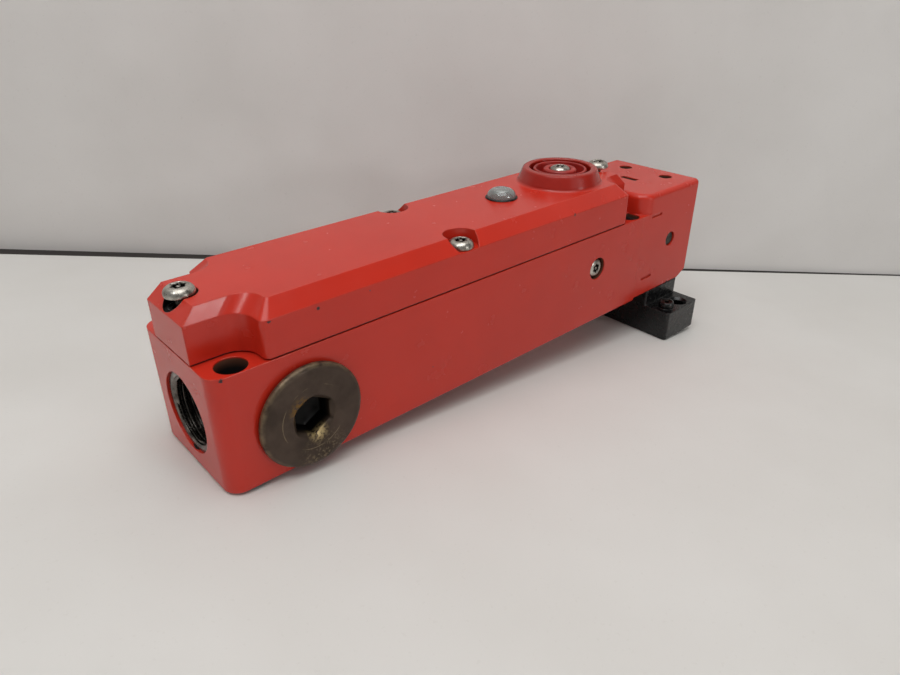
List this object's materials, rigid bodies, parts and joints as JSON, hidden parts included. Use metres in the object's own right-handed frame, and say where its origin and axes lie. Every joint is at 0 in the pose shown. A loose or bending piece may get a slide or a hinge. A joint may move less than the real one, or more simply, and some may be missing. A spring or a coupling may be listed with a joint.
{
  "type": "tongue interlock switch",
  "caption": "Die-cast guard-locking switch: a steel tongue on a bolted base enters the head, turns a cam and moves the contacts; a sprung bolt faces the cam and two releases draw it back.",
  "frame": {"origin": "centre of the rectangle of four mounting holes, on the flat mounting face", "axes": "+X along the body towards the head, +Y to the left side away from the side release, +Z from the mounting face towards the lid"},
  "size_m": [0.2035, 0.061, 0.0703],
  "materials": {
    "red_paint": "worn satin red paint over die-cast metal",
    "dark_metal": "dark oxide, worn at the edges",
    "dark_steel": "dark threaded steel",
    "stainless": "stainless",
    "spring_steel": "bright wire",
    "soft_iron": "plated",
    "bronze": "sintered",
    "brass": "bright",
    "copper": "enamelled wire",
    "red_plastic": "moulded",
    "clear_plastic": "clear",
    "black_plastic": "moulded, satin",
    "grey_plastic": "moulded",
    "natural_plastic": "moulded",
    "board": "laminate",
    "rubber": "moulded"
  },
  "bodies": {
    "switch": {"housing": "red_paint", "lid": "red_paint", "lid_gasket": "rubber", "lid_screws_tight": "stainless", "lid_screws_loose": "stainless", "lid_screw_washers": "black_plastic", "entry_liner": "dark_steel", "conduit_plug_right": "dark_metal", "conduit_plug_left": "dark_metal", "plug_seals": "rubber", "led_lens": "clear_plastic", "led_rim": "black_plastic", "led_board": "board", "release_seal": "rubber", "head": "red_paint", "head_gasket": "rubber", "head_screws": "stainless", "head_end_guide": "stainless", "cam_shaft": "stainless", "cam_washers": "stainless", "plunger_bush": "bronze", "plunger_spring": "spring_steel", "lock_bush": "bronze", "lock_spring": "spring_steel", "solenoid_frame": "soft_iron", "solenoid_bobbin": "natural_plastic", "solenoid_coil": "copper", "solenoid_core": "soft_iron", "contact_block": "grey_plastic", "contact_cover": "clear_plastic", "fixed_contacts": "brass", "terminal_block": "grey_plastic", "terminal_clamps": "brass", "terminal_screws": "soft_iron", "earth_screw": "brass", "earth_clamp": "brass", "board_screws": "stainless"},
    "actuator": {"tongue": "stainless", "tongue_base": "black_plastic", "tongue_rivets": "stainless", "tongue_adjusters": "stainless"},
    "cam": {"cam_wheel": "soft_iron"},
    "plunger": {"plunger_rod": "stainless", "contact_carrier": "natural_plastic", "contact_bridges": "brass"},
    "lock": {"lock_bolt": "stainless", "release_plate": "soft_iron", "solenoid_armature": "soft_iron"},
    "release": {"release_dial": "red_plastic", "release_screw": "stainless", "release_shaft": "stainless", "release_clip": "spring_steel"},
    "side_release": {"side_release_spindle": "stainless", "side_release_clip": "spring_steel"}
  },
  "joints": [
    {"name": "tongue_slide", "type": "slide", "parent": "switch", "child": "actuator", "axis": [0, 0, -1], "range_m": [0, 0.027]},
    {"name": "cam_turn", "type": "hinge", "parent": "switch", "child": "cam", "pos_m": [0.1016, 0, 0.0206], "axis": [0, 1, 0], "range_deg": [0, 125.01]},
    {"name": "plunger_slide", "type": "slide", "parent": "switch", "child": "plunger", "axis": [-1, 0, 0], "range_m": [0, 0.0035], "stiffness_N_per_m": 500, "springref_m": -0.004, "deforming": ["plunger_spring"]},
    {"name": "lock_slide", "type": "slide", "parent": "switch", "child": "lock", "axis": [-1, 0, 0], "range_m": [0, 0.004], "stiffness_N_per_m": 400, "springref_m": -0.003, "deforming": ["lock_spring"]},
    {"name": "release_turn", "type": "hinge", "parent": "switch", "child": "release", "pos_m": [0.0561, 0, 0.048], "axis": [0, 0, 1], "range_deg": [0, 90]},
    {"name": "side_release_turn", "type": "hinge", "parent": "switch", "child": "side_release", "pos_m": [0.0561, -0.018, 0.0211], "axis": [0, 1, 0], "range_deg": [0, 90]}
  ],
  "couplings": [
    {"joint": "cam_turn", "follows": "tongue_slide", "rad_per_m": 80.802},
    {"joint": "plunger_slide", "follows": "tongue_slide", "ratio": 0.12963}
  ]
}
